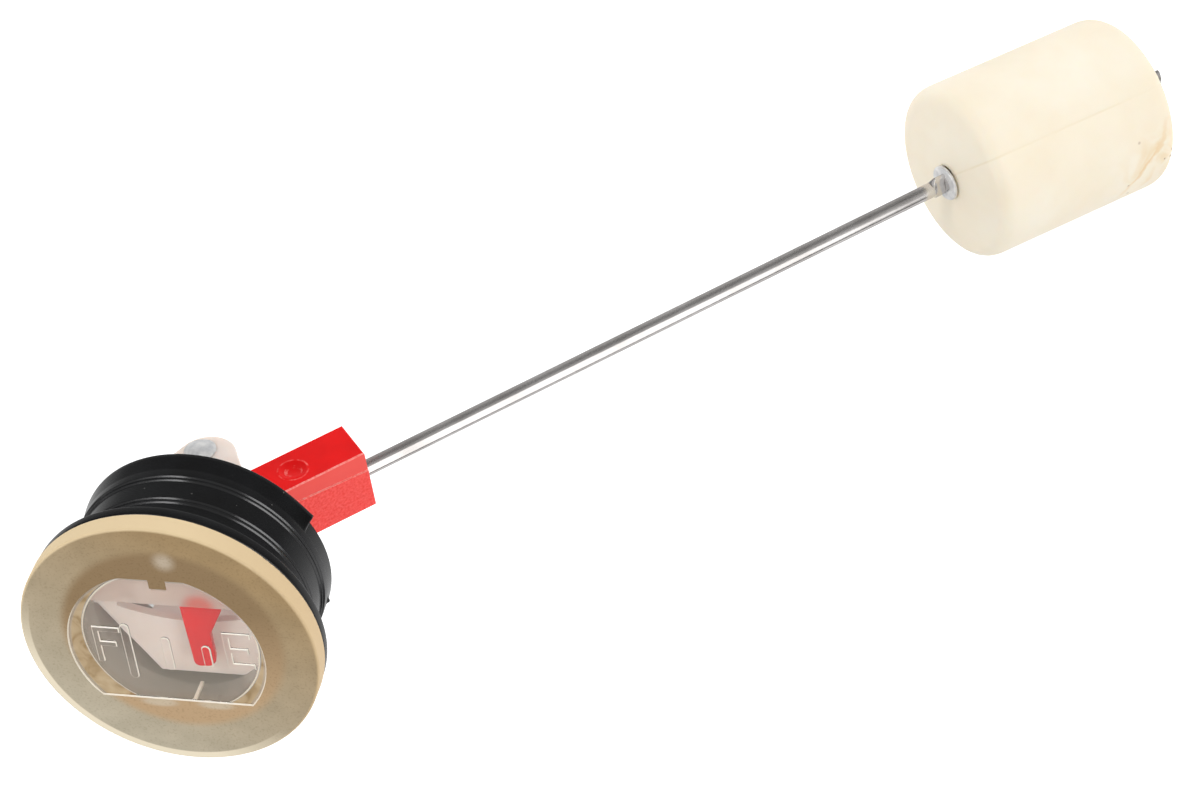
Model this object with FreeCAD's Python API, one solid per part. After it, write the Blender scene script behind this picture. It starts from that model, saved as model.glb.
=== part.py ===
import FreeCAD, Part
import math
import os

os.makedirs("parts", exist_ok=True)

# Fuel level indicator. Lengths are in millimetres and angles in degrees.
# The origin is the centre of the tank hole on the plane the rubber lip seats on.
# +Z points out of the tank, +X to the side the float arm hangs on, +Y to the top of the dial.

# Lens
flange_r = 26.4
flange_t = 4.1
flange_edge_r = 0.5
tube_len = 19.0
tube_wall = 2.0
rear_bore_r = 17.6
shoulder_w = 1.8
window_t = 1.7
shoulder_depth = 8.3
recess_r = 17.4
recess_depth = 0.4
recess_x = -0.7
recess_y = -1.5
recess_flat_y = -12.4
relief = 0.3
mark_slope = 0.16
recess_slope = 0.2
letter_stroke = 1.2
letter_w = 5.0
letter_h = 8.1
letter_f_x = -13.5
letter_f_y = -4.7
letter_e_x = 9.9
letter_e_y = -4.1
tick_w = 1.65
tick_y = -1.9
tick_long = 12.5
tick_mid = 7.6
tick_short = 5.0
tick_f_x = -7.5
tick_mid_x = -0.6
tick_e_x = 6.5
key_rib_x = 1.0
key_rib_w = 0.6
key_rib_h = 0.6

# Rubber bung
lip_inset = 0.2
lip_t = 2.2
lip_edge = 0.35
neck_wall = 1.6
neck_land = 3.0
neck_taper_angle = 3.6
rib_a_h = 0.5
rib_a_z = -5.55
rib_b_h = 0.5
rib_b_z = -11.45
rib_crest = 1.0
rib_flank = 0.4
tail_h = 0.5
tail_past_tube = 1.0
tail_rim = 0.8
tail_flare = 3.0
tail_notch_h = 0.7
tail_notch_half_angle = 26.0
rubber_fit = 0.05

# Bracket
plate_t = 1.6
plate_y = 12.9
dial_clear = 0.2
visor_front_gap = 1.2
visor_t = 1.6
visor_low_y = 7.3
key_notch_x = -0.6
key_notch_w = 2.5
key_notch_h = 2.1
dial_cut_x = -15.0
dial_cut_y = 1.8
dial_cut_low_x = -5.9
slot_low_y = -1.0
slot_top_y = 7.2
slot_mid_x = 1.5
slot_left_w = 13.0
slot_right_w = 12.5
slot_low_r = 36.0
bracket_edge_r = 0.25
low_plate_from_z = -10.8
tab_x = -1.65
tab_back = 1.2
tab_r = 5.4
tab_splay_angle = 27.5
boss_r = 1.3
boss_h = 1.0
boss_x = -1.4

# Pivot pin
pin_x = -3.0
pin_z = -29.7
pin_r = 1.5
pin_fit = 0.02
head_r = 2.85
head_h = 1.2
head_rim = 0.25
tail_head_r = 2.3
tail_head_h = 0.8

# Lever
hub_r = 4.0
hub_gap = 0.3
hub_fit = 0.05
pointer_lean_angle = 12.7
pointer_reach = 31.8
pointer_t = 1.6
neck_left = -1.9
neck_right = 2.5
neck_low_y = 0.9
neck_top_y = 5.2
finger_half_w = 1.9
finger_top_y = 6.9
finger_low_y = -8.2
finger_flare_y = -1.1
finger_flare_w = 6.1
finger_lean_w = 2.4
finger_tip_r = 1.3
finger_edge_r = 0.3
arm_drop_angle = 45.6
arm_y = -6.2
arm_w_offset = 1.88
block_end = 27.8
block_front_w = 4.6
block_back_w = 5.3
block_top = 7.35
block_low = 4.8
block_step_root = 4.6
block_step_end = 3.35
block_step = 0.2
block_end_skew = 0.9
block_end_lean = 0.4
block_edge_r = 0.35
dimple_r = 2.5
dimple_depth = 0.6
dimple_from_end = 12.2
dimple_w = 0.0
socket_depth = 20.0
socket_fit = 0.02

# Float rod
rod_r = 1.5
rod_past_ears = 4.2
ear_len = 2.7
ear_half_w = 2.3
ear_t = 1.5
tip_len = 3.2
tip_half_w = 1.85
tip_t = 1.9

# Washers and float
washer_r = 3.5
washer_bore_fit = 0.1
washer_t = 0.6
washer_near_x = 159.2
float_r = 17.5
float_len = 41.4
float_edge_near = 3.4
float_edge_far = 3.6
float_end_play = 1.5
float_tilt_angle = 2.0
float_bore_fit = 0.1
float_tilt_y = -0.85
float_tilt_w = 0.53

# Derived sizes and levels
front_bore_r = rear_bore_r - shoulder_w
tube_r = rear_bore_r + tube_wall
bung_bore_r = tube_r + rubber_fit
neck_r = bung_bore_r + neck_wall
neck_grows = math.tan(math.radians(neck_taper_angle))
lip_r = flange_r - lip_inset
flange_back = lip_t
face_z = flange_back + flange_t
recess_z = face_z - recess_depth
window_back = face_z - window_t
shoulder_z = face_z - shoulder_depth
tube_end = flange_back - tube_len
neck_end_r = neck_r - neck_grows * (tube_end + neck_land)
tail_r = neck_end_r + tail_h
tail_notch_r = tail_r - tail_notch_h
dial_r = rear_bore_r - dial_clear
visor_r = front_bore_r - dial_clear
visor_front = window_back - visor_front_gap
visor_back = visor_front - visor_t
dial_front = shoulder_z
dial_back = dial_front - plate_t
plate_inner = plate_y - plate_t
tab_z = pin_z + tab_back
hub_half = plate_inner - hub_gap
float_near_x = washer_near_x + washer_t + float_end_play
float_far_x = float_near_x + float_len
washer_far_x = float_far_x + float_end_play
ears_far_x = washer_far_x + washer_t
rod_end = ears_far_x + ear_len + rod_past_ears
float_bore_r = rod_r + 0.5 * float_len * math.sin(math.radians(float_tilt_angle)) + float_bore_fit

V = FreeCAD.Vector
X = V(1, 0, 0)
Y = V(0, 1, 0)
Z = V(0, 0, 1)


def disc(r, z0, z1, x=0.0, y=0.0):
    return Part.makeCylinder(r, z1 - z0, V(x, y, z0))


def block(x0, x1, y0, y1, z0, z1):
    return Part.makeBox(x1 - x0, y1 - y0, z1 - z0, V(x0, y0, z0))


def prism(points, along):
    face = Part.Face(Part.makePolygon(points + points[:1]))
    return face.extrude(along)


def post(r, x, z, y0, y1):
    return Part.makeCylinder(r, y1 - y0, V(x, y0, z), Y)


def swing(shape, angle):
    # From a frame centred on the pivot, turned about the pivot axis, to the gauge's own frame.
    turned = shape.copy()
    turned.rotate(V(0, 0, 0), Y, angle)
    turned.translate(V(pin_x, 0, pin_z))
    return turned


def chord_half(r, y):
    return math.sqrt(r * r - y * y)


# Lens
def sloped(mark):
    # The mark with its upper edges cut back, so that its sides lean as they leave the mould.
    top = recess_z + relief
    edges = [e for e in mark.Edges if e.BoundBox.ZMin > top - 0.1 * relief]
    return mark.makeChamfer(mark_slope, edges)


def tick(x, length):
    half = 0.5 * length - 0.5 * tick_w
    top = recess_z + relief
    bar = block(x - 0.5 * tick_w, x + 0.5 * tick_w, tick_y - half, tick_y + half, recess_z, top)
    upper = disc(0.5 * tick_w, recess_z, top, x, tick_y + half)
    lower = disc(0.5 * tick_w, recess_z, top, x, tick_y - half)
    return sloped(bar.multiFuse([upper, lower]).removeSplitter())


def letter(x, y, bars):
    # An upright stroke with level bars, each given by its height and its length as shares of the letter.
    top = recess_z + relief
    strokes = []
    for height, length in bars:
        y0 = y + height * (letter_h - letter_stroke)
        strokes.append(block(x, x + length * letter_w, y0, y0 + letter_stroke, recess_z, top))
    upright = block(x, x + letter_stroke, y, y + letter_h, recess_z, top)
    return sloped(upright.multiFuse(strokes).removeSplitter())


def make_lens():
    flange = disc(flange_r, flange_back, face_z)
    flange = flange.makeFillet(flange_edge_r, [e for e in flange.Edges if len(e.Vertexes) == 1])
    body = flange.fuse(disc(tube_r, tube_end, flange_back)).removeSplitter()
    body = body.cut(disc(front_bore_r, shoulder_z, window_back))
    body = body.cut(disc(rear_bore_r, tube_end, shoulder_z))
    recess = disc(recess_r, recess_z, face_z, recess_x, recess_y)
    recess = recess.common(block(-flange_r, flange_r, recess_flat_y, flange_r, recess_z, face_z))
    body = body.cut(recess)
    rim = flange_r - 2.0 * flange_edge_r
    mouth = [e for e in body.Edges if e.BoundBox.ZMin > recess_z + 0.5 * recess_depth and e.BoundBox.XMax < rim]
    body = body.makeChamfer(recess_slope, mouth)
    marks = [
        letter(letter_f_x, letter_f_y, [(1.0, 1.0), (0.52, 0.8)]),
        letter(letter_e_x, letter_e_y, [(1.0, 1.0), (0.5, 0.85), (0.0, 1.0)]),
        tick(tick_f_x, tick_long),
        tick(tick_mid_x, tick_mid),
        tick(tick_e_x, tick_short),
    ]
    key_low = -front_bore_r - 0.5 * key_rib_h
    key_top = -chord_half(front_bore_r, key_rib_x) + key_rib_h
    key_half = 0.5 * key_rib_w
    key = block(key_rib_x - key_half, key_rib_x + key_half, key_low, key_top, shoulder_z, window_back)
    return body.multiFuse(marks + [key]).removeSplitter()


# Rubber bung
def neck_at(z):
    # The neck is straight over its land under the lip, and widens evenly from there towards the tail.
    return neck_r - neck_grows * min(z + neck_land, 0.0)


def rubber_rib(h, z):
    r = neck_at(z) + h
    front = z + 0.5 * rib_crest
    back = z - 0.5 * rib_crest
    foot = front + rib_flank
    heel = back - rib_flank
    return [(neck_at(foot), foot), (r, front), (r, back), (neck_at(heel), heel)]


def make_rubber_bung():
    bore = bung_bore_r
    end = tube_end - tail_past_tube
    outline = [(bore, lip_t), (lip_r - lip_edge, lip_t), (lip_r, lip_t - lip_edge)]
    outline += [(lip_r, lip_edge), (lip_r - lip_edge, 0.0), (neck_r, 0.0)]
    outline += [(neck_r, -neck_land)]
    outline += rubber_rib(rib_a_h, rib_a_z)
    outline += rubber_rib(rib_b_h, rib_b_z)
    flare = end + tail_rim + tail_flare
    outline += [(neck_at(flare), flare), (tail_r, end + tail_rim), (tail_r, end), (bore, end)]
    points = [V(r, 0, z) for r, z in outline]
    body = Part.Face(Part.makePolygon(points + points[:1])).revolve(V(0, 0, 0), Z, 360)
    reach = tail_r + tail_rim
    low = end - tail_rim
    top = end + tail_rim + tail_flare
    notch = [V(tail_notch_r, 0, low), V(reach, 0, low), V(reach, 0, top), V(tail_notch_r, 0, top)]
    sweep = 2.0 * tail_notch_half_angle
    cutter = Part.Face(Part.makePolygon(notch + notch[:1])).revolve(V(0, 0, 0), Z, sweep)
    cutter.rotate(V(0, 0, 0), Z, -tail_notch_half_angle)
    return body.cut(cutter)


# Bracket
def tab_side(side, l):
    # A point on the splayed side of the tab, l along it from where it leaves the tab's round end.
    a = math.radians(tab_splay_angle)
    x = tab_x + side * (tab_r * math.cos(a) + l * math.sin(a))
    z = tab_z - tab_r * math.sin(a) + l * math.cos(a)
    return x, z


def tab_length_to(x, side):
    a = math.radians(tab_splay_angle)
    return (side * (x - tab_x) - tab_r * math.cos(a)) / math.sin(a)


def plate(y0, left_path, right_path):
    # A flat plate in plan, from the dial back along both sides to the tab's round end.
    outline = [V(x, y0, z) for x, z in left_path + right_path[::-1]]
    flat = prism(outline, Y * plate_t)
    flat = flat.fuse(post(tab_r, tab_x, tab_z, y0, y0 + plate_t)).removeSplitter()
    edges = [e for e in flat.Edges if e.BoundBox.YLength < 0.1 * plate_t and e.BoundBox.ZMin < dial_back]
    return flat.makeFillet(bracket_edge_r, edges)


def splayed_path(side, half_w):
    l = tab_length_to(side * half_w, side)
    x, z = tab_side(side, l)
    return [(side * half_w, dial_front), (x, z), tab_side(side, 0.0)]


def make_dial_plate():
    face = disc(dial_r, dial_back, dial_front)
    face = face.common(block(-dial_r, dial_r, -plate_y, plate_y, dial_back, dial_front))
    slope = (dial_cut_low_x - dial_cut_x) / (-plate_y - dial_cut_y)
    far = 2.0 * dial_r
    corner = [
        V(dial_cut_x, dial_cut_y, dial_back),
        V(dial_cut_x - slope * far, dial_cut_y - far, dial_back),
        V(-far, dial_cut_y - far, dial_back),
        V(-far, dial_cut_y, dial_back),
    ]
    face = face.cut(prism(corner, Z * plate_t))
    left = slot_mid_x - slot_left_w
    right = slot_mid_x + slot_right_w
    slot = block(left, right, slot_low_y, slot_top_y, dial_back, dial_front)
    slot = slot.common(disc(slot_low_r, dial_back, dial_front, slot_mid_x, slot_low_y + slot_low_r))
    return face.cut(slot)


def make_visor():
    bar = disc(visor_r, visor_back, visor_front)
    bar = bar.common(block(-visor_r, visor_r, visor_low_y, plate_y, visor_back, visor_front))
    half = 0.5 * key_notch_w
    low = plate_y - key_notch_h
    notch = block(key_notch_x - half, key_notch_x + half, low, plate_y, visor_back, visor_front)
    bar = bar.cut(notch)
    return bar.makeFillet(bracket_edge_r, [e for e in bar.Edges if e.BoundBox.ZMin > visor_front - 0.1 * visor_t])


def make_pivot_bracket():
    dial = make_dial_plate()
    visor = make_visor()
    wide = chord_half(dial_r, plate_y)
    top = plate(plate_inner, splayed_path(-1, wide), splayed_path(1, wide))
    low_left = [(dial_cut_low_x, dial_front), (dial_cut_low_x, dial_back), (-wide, low_plate_from_z)]
    low_left += splayed_path(-1, wide)[1:]
    low = plate(-plate_y, low_left, splayed_path(1, wide))
    half = chord_half(visor_r, plate_y)
    neck = block(-half, half, plate_inner, plate_y, dial_front, visor_back)
    boss_z = 0.5 * (dial_front + visor_back)
    boss = post(boss_r, boss_x, boss_z, plate_y, plate_y + boss_h)
    body = dial.multiFuse([visor, top, low, neck, boss]).removeSplitter()
    return body.cut(post(pin_r + pin_fit, pin_x, pin_z, -2.0 * plate_y, 2.0 * plate_y))


# Pivot pin
def rivet_head(r, h, rim):
    # A rim and a dome over it, growing along +Y from the origin.
    dome = h - rim
    ball = (r * r + dome * dome) / (2.0 * dome)
    half = 0.5 * math.asin(r / ball)
    crown = V(0, h, 0)
    shoulder = V(ball * math.sin(half), h - ball + ball * math.cos(half), 0)
    arc = Part.Arc(V(r, rim, 0), shoulder, crown).toShape()
    base = Part.makePolygon([crown, V(0, 0, 0), V(r, 0, 0), V(r, rim, 0)])
    return Part.Face(Part.Wire(base.Edges + [arc])).revolve(V(0, 0, 0), Y, 360)


def make_pivot_pin():
    shank = post(pin_r, 0.0, 0.0, -plate_y, plate_y)
    head = rivet_head(head_r, head_h, head_rim)
    head.translate(V(0, plate_y, 0))
    tail = rivet_head(tail_head_r, tail_head_h, head_rim)
    tail.rotate(V(0, 0, 0), X, 180)
    tail.translate(V(0, -plate_y, 0))
    body = shank.multiFuse([head, tail]).removeSplitter()
    body.translate(V(pin_x, 0, pin_z))
    return body


# Lever
def make_pointer():
    # Across the pointer is x, along it z, from the pivot.
    back = pointer_reach - pointer_t
    outline = [
        V(-finger_half_w, finger_low_y, back),
        V(finger_half_w, finger_low_y, back),
        V(finger_half_w, finger_flare_y, back),
        V(finger_flare_w, finger_top_y, back),
        V(-finger_lean_w, finger_top_y, back),
    ]
    finger = prism(outline, Z * pointer_t)
    tips = []
    for edge in finger.Edges:
        if edge.BoundBox.YMax < finger_low_y + 0.01 and edge.BoundBox.ZLength > 0.5 * pointer_t:
            tips.append(edge)
    finger = finger.makeFillet(finger_tip_r, tips)
    face = [e for e in finger.Edges if e.BoundBox.ZMin > back + 0.9 * pointer_t]
    finger = finger.makeFillet(finger_edge_r, face)
    neck = block(neck_left, neck_right, neck_low_y, neck_top_y, 0.0, back + 0.5 * pointer_t)
    return finger.fuse(neck)


def make_arm_block():
    # Along the arm is x from the pivot, across it z.
    top = arm_y + block_top
    low = arm_y - block_low
    end = block_end + block_end_lean + block_end_skew
    step_root = arm_y + block_step_root
    step_end = arm_y + block_step_end
    w0 = arm_w_offset - block_back_w
    width = block_back_w + block_front_w
    lower = [V(0, low, w0), V(end, low, w0), V(end, step_end, w0), V(0, step_root, w0)]
    lower = prism(lower, Z * width)
    w1 = w0 + block_step
    upper = [V(0, step_root, w1), V(end, step_end, w1), V(end, top, w1), V(0, top, w1)]
    upper = prism(upper, Z * (width - 2.0 * block_step))
    body = lower.fuse(upper)
    back_w = w0 - 1.0
    front_w = w0 + width
    skew = block_end_skew / width
    lean = block_end_lean / (top - low)
    far = V(4.0 * width, 0, 0)
    corners = []
    for y, w in ((low - 1.0, back_w), (top + 1.0, back_w), (top + 1.0, front_w + 1.0), (low - 1.0, front_w + 1.0)):
        corners.append(V(block_end + skew * (front_w - w) + lean * (top - y), y, w))
    body = body.cut(prism(corners, far))
    rims = [e for e in body.Edges if e.BoundBox.YMin > top - 0.1 or e.BoundBox.YMax < low + 0.1]
    body = body.makeFillet(block_edge_r, [e for e in rims if e.BoundBox.XMax > 0.5 * block_end])
    ball = (dimple_r * dimple_r + dimple_depth * dimple_depth) / (2.0 * dimple_depth)
    centre = V(block_end - dimple_from_end, top - dimple_depth + ball, arm_w_offset + dimple_w)
    return body.cut(Part.makeSphere(ball, centre))


def make_pointer_lever():
    hub = post(hub_r, 0.0, 0.0, -hub_half, hub_half)
    hub.translate(V(pin_x, 0, pin_z))
    body = hub.multiFuse([swing(make_pointer(), pointer_lean_angle), swing(make_arm_block(), arm_drop_angle)])
    body = body.removeSplitter()
    body = body.cut(post(pin_r + hub_fit, pin_x, pin_z, -2.0 * plate_y, 2.0 * plate_y))
    start = block_end - socket_depth
    socket_len = socket_depth + block_end
    socket = Part.makeCylinder(rod_r + socket_fit, socket_len, V(start, arm_y, arm_w_offset), X)
    return body.cut(swing(socket, arm_drop_angle))


# Float rod
def ears(x0, x1, lead):
    # Metal pressed out sideways into two ears, sloping up from the plain wire over the lead.
    z0 = arm_w_offset - 0.5 * ear_t
    outline = []
    for x, half in ((x0, 0.8 * rod_r), (x0 + lead, ear_half_w), (x1, ear_half_w)):
        outline.append((x, half))
    points = [V(x, arm_y + half, z0) for x, half in outline]
    points += [V(x, arm_y - half, z0) for x, half in outline[::-1]]
    return prism(points, Z * ear_t)


def pinch(x0, x1, thick):
    # The two dents the pressing leaves in the wire.
    reach = 2.0 * rod_r
    y0 = arm_y - reach
    y1 = arm_y + reach
    over = block(x0, x1, y0, y1, arm_w_offset + 0.5 * thick, arm_w_offset + reach)
    under = block(x0, x1, y0, y1, arm_w_offset - reach, arm_w_offset - 0.5 * thick)
    return over.fuse(under)


def make_float_rod():
    start = block_end - socket_depth
    wire = Part.makeCylinder(rod_r, rod_end - start, V(start, arm_y, arm_w_offset), X)
    near = washer_near_x - ear_len
    far = ears_far_x + ear_len
    wire = wire.cut(pinch(near, washer_near_x, ear_t))
    wire = wire.cut(pinch(ears_far_x, far, ear_t))
    wire = wire.cut(pinch(rod_end - tip_len, rod_end, tip_t))
    tip_z = arm_w_offset - 0.5 * tip_t
    tip = block(rod_end - tip_len, rod_end, arm_y - tip_half_w, arm_y + tip_half_w, tip_z, tip_z + tip_t)
    lead = 0.35 * ear_len
    far_ears = ears(0.0, ear_len, lead)
    middle = V(0.5 * ear_len, arm_y, arm_w_offset)
    far_ears.rotate(middle, Y, 180)
    far_ears.translate(V(ears_far_x, 0, 0))
    body = wire.multiFuse([ears(near, washer_near_x, lead), far_ears, tip]).removeSplitter()
    return swing(body, arm_drop_angle)


# Washers and float
def make_washer(x):
    ring = Part.makeCylinder(washer_r, washer_t, V(x, arm_y, arm_w_offset), X)
    hole = Part.makeCylinder(rod_r + washer_bore_fit, washer_t, V(x, arm_y, arm_w_offset), X)
    return swing(ring.cut(hole), arm_drop_angle)


def make_float():
    wire = Part.makeCylinder(float_r, float_len, V(float_near_x, arm_y, arm_w_offset), X)
    near = []
    far = []
    for edge in wire.Edges:
        if len(edge.Vertexes) == 1:
            at_near = edge.CenterOfMass.x < float_near_x + 0.5 * float_len
            (near if at_near else far).append(edge)
    body = wire.makeFillet(float_edge_near, near)
    far = [e for e in body.Edges if e.BoundBox.XMin > float_far_x - 0.1 * float_edge_far]
    body = body.makeFillet(float_edge_far, far)
    body = body.cut(Part.makeCylinder(float_bore_r, float_len, V(float_near_x, arm_y, arm_w_offset), X))
    middle = V(float_near_x + 0.5 * float_len, arm_y, arm_w_offset)
    body.rotate(middle, V(0, -float_tilt_w, float_tilt_y), float_tilt_angle)
    return swing(body, arm_drop_angle)


nodes = {
    "lens": make_lens(),
    "rubber_bung": make_rubber_bung(),
    "pivot_bracket": make_pivot_bracket(),
    "pivot_pin": make_pivot_pin(),
    "pointer_lever": make_pointer_lever(),
    "float_rod": make_float_rod(),
    "float_washer_near": make_washer(washer_near_x),
    "float": make_float(),
    "float_washer_far": make_washer(washer_far_x),
}

for name, shape in nodes.items():
    solid = shape.Solids[0] if len(shape.Solids) == 1 else shape
    solid.exportStep("parts/" + name + ".step")
    box = solid.BoundBox
    print(name, "solids", len(shape.Solids), "valid", solid.isValid(), "volume", round(solid.Volume, 1))
    print("   box", [round(v, 2) for v in (box.XMin, box.YMin, box.ZMin, box.XMax, box.YMax, box.ZMax)])
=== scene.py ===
import math

import bmesh
import bpy
import numpy as np
from mathutils import Matrix, Vector


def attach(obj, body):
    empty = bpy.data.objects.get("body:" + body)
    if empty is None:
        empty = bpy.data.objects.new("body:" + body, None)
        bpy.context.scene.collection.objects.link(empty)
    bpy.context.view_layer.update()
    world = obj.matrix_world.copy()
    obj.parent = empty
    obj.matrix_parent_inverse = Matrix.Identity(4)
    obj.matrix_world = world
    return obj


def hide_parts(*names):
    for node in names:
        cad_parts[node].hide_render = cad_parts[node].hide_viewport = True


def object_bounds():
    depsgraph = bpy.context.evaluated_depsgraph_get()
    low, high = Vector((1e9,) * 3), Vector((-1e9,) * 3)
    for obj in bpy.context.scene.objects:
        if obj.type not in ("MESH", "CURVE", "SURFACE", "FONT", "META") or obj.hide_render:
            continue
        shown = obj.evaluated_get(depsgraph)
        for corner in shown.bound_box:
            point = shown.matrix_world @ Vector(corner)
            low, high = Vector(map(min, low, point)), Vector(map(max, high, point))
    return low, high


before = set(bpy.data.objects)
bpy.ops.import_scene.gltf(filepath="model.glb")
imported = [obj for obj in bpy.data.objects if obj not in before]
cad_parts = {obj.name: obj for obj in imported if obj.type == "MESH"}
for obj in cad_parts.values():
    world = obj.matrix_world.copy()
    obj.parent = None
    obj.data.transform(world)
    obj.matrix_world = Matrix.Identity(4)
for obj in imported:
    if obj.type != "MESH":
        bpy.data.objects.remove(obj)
cad_low, cad_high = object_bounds()

# Rubber bung. One moulding in black nitrile rubber, stretched over the tube behind the flange.
# Its wide front lip seals on the tank top, the sleeve grows in two pairs of small steps that hold it in the
# tank's hole, and the tail flares out and is trimmed back on the side of the float arm.
mm = 0.001
bung_bore = 19.65
bung_lip_r = 26.2
bung_lip_t = 2.2
bung_neck = 21.2
# Each step has its height from the seat, the radius in front of it and the radius behind it.
bung_steps = ((-6.5, 21.2, 21.52), (-7.28, 21.44, 21.76), (-11.58, 21.74, 22.06), (-12.28, 21.98, 22.3))
bung_step_run = 0.145
bung_tail_end = -17.8
bung_tail_r = 22.63
bung_tail_flare = 3.8
bung_tail_land = 0.8
bung_flare_rows = 14
bung_notch_from = math.radians(-50.0)
bung_notch_to = math.radians(26.0)
bung_notch_depth = 1.2
bung_notch_wall = 0.02
bung_flap_rise = 0.55
bung_flap_turn = math.radians(6.0)
bung_nub_at = math.radians(-19.0)
bung_nub_z = -15.5
bung_nub_rise = 0.55
bung_nub_r = 0.5
bung_columns = 540


def rounded(corners, radii, steps=5):
    """Closed outline with its corners turned into arcs: each arc is a quadratic curve from one
    point a radius before the corner to one a radius after it, with the corner as its control point."""
    p = np.asarray(corners, float)
    before = np.roll(p, 1, axis=0) - p
    after = np.roll(p, -1, axis=0) - p
    reach = np.asarray(radii, float)[:, None]
    a = p + before / np.linalg.norm(before, axis=1, keepdims=True) * reach
    b = p + after / np.linalg.norm(after, axis=1, keepdims=True) * reach
    t = np.linspace(0.0, 1.0, steps)[None, :, None]
    arcs = (1 - t) ** 2 * a[:, None] + 2 * t * (1 - t) * p[:, None] + t**2 * b[:, None]
    return arcs.reshape(-1, 2)


def mesh_from_grid(name, points, close_rows, close_columns):
    """Object from a grid of points in metres, rows by columns: each cell is one quad, and a closed
    direction joins its last line of points to its first. Points that coincide, as at a pole, are merged."""
    rows, columns = points.shape[:2]
    index = np.arange(rows * columns).reshape(rows, columns)
    if close_rows:
        index = np.vstack([index, index[:1]])
    if close_columns:
        index = np.hstack([index, index[:, :1]])
    cell_corners = [index[:-1, :-1], index[1:, :-1], index[1:, 1:], index[:-1, 1:]]
    quads = np.stack(cell_corners, axis=-1).reshape(-1, 4)
    mesh = bpy.data.meshes.new(name)
    mesh.from_pydata(points.reshape(-1, 3).tolist(), [], quads.tolist())
    work = bmesh.new()
    work.from_mesh(mesh)
    bmesh.ops.remove_doubles(work, verts=work.verts, dist=1e-7)
    bmesh.ops.recalc_face_normals(work, faces=work.faces)
    work.to_mesh(mesh)
    work.free()
    mesh.shade_smooth()
    piece = bpy.data.objects.new(name, mesh)
    bpy.context.scene.collection.objects.link(piece)
    return piece


def bung_surface():
    """Outline of radius and height turned about the dial's axis, with a small rise at each step of the
    sleeve, which falls back a little behind it. The tail is trimmed by a depth that grows evenly with the
    angle to a sharp end, past which the flap that is left stands out and settles back. A bell-shaped nub
    from the mould stands on the tail."""
    flare_top = bung_tail_end + bung_tail_flare
    land_top = bung_tail_end + bung_tail_land
    corners = [(bung_bore, bung_lip_t), (bung_lip_r, bung_lip_t), (bung_lip_r, 0.0), (bung_neck, 0.0)]
    radii = [0.15, 0.5, 0.45, 0.5]
    for step_z, front_r, behind_r in bung_steps:
        corners += [(front_r, step_z + bung_step_run), (behind_r, step_z - bung_step_run)]
        radii += [0.07, 0.09]
    flare_r = np.linspace(bung_steps[-1][2], bung_tail_r, bung_flare_rows)
    flare_z = np.linspace(flare_top, land_top, bung_flare_rows)
    corners += zip(flare_r, flare_z)
    radii += [0.08] * bung_flare_rows
    corners += [(bung_tail_r, bung_tail_end), (bung_bore, bung_tail_end)]
    radii += [0.3, 0.2]
    outline = rounded(corners, radii)
    angle = np.linspace(0.0, 2 * math.pi, bung_columns, endpoint=False)[:, None]
    turn = np.angle(np.exp(1j * angle))
    along_notch = (turn - bung_notch_from) / (bung_notch_to - bung_notch_from)
    trim = np.clip(along_notch, 0.0, 1.0) * bung_notch_depth
    trim *= np.clip((bung_notch_to - turn) / bung_notch_wall, 0.0, 1.0)
    past = np.clip(turn - bung_notch_to, 0.0, None)
    flap = np.where(past > 0.0, bung_flap_rise * np.exp(-past / bung_flap_turn), 0.0)
    r = outline[None, :, 0]
    z = np.broadcast_to(outline[None, :, 1], (len(angle), len(outline)))
    down_tail = np.clip((flare_top - z) / (bung_tail_flare - bung_tail_land), 0.0, 1.0)
    trimmed = np.minimum(r, bung_tail_r - trim)
    r = np.where((z < flare_top) & (r > bung_neck), trimmed + flap * down_tail, r)
    around_from_nub = np.angle(np.exp(1j * (angle - bung_nub_at))) * bung_tail_r
    from_nub = np.hypot(around_from_nub, z - bung_nub_z) / bung_nub_r
    r = np.where(r > bung_neck, r + bung_nub_rise * np.exp(-(from_nub**2)), r)
    return np.stack([r * np.cos(angle), r * np.sin(angle), z], axis=-1) * mm


def linear(code):
    """Linear colour with full alpha from an sRGB hex code."""
    c = np.array([int(code[i : i + 2], 16) for i in (1, 3, 5)]) / 255.0
    c = np.where(c <= 0.04045, c / 12.92, ((c + 0.055) / 1.055) ** 2.4)
    return (*c.tolist(), 1.0)


def add(tree, kind, settings=None, **links):
    """Adds one node to a shader tree with its properties set, colour stops among them. Each further argument
    names a socket, with spaces as underscores or i and a number, and gives it a value, socket or node."""
    made = tree.nodes.new("ShaderNode" + kind)
    for key, value in (settings or {}).items():
        if key == "stops":
            while len(made.color_ramp.elements) < len(value):
                made.color_ramp.elements.new(0.5)
            for element, (position, code) in zip(made.color_ramp.elements, value):
                element.position = position
                element.color = linear(code)
        else:
            setattr(made, key, value)
    for key, value in links.items():
        numbered = key[0] == "i" and key[1:].isdigit()
        socket = made.inputs[int(key[1:])] if numbered else made.inputs[key.replace("_", " ")]
        if isinstance(value, bpy.types.Node):
            value = next(end for end in value.outputs if end.enabled)
        if isinstance(value, bpy.types.NodeSocket):
            tree.links.new(value, socket)
        else:
            socket.default_value = value
    return made


def new_material(name):
    """Empty node material with its output, and the piece's own coordinates in metres."""
    made = bpy.data.materials.new(name)
    made.use_nodes = True
    tree = made.node_tree
    tree.nodes.clear()
    out = add(tree, "OutputMaterial")
    where = add(tree, "TexCoord").outputs["Object"]
    return made, tree, out, where


# A Mix node with this setting mixes two colours, and without it two numbers.
mix_colour = {"data_type": "RGBA"}

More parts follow.
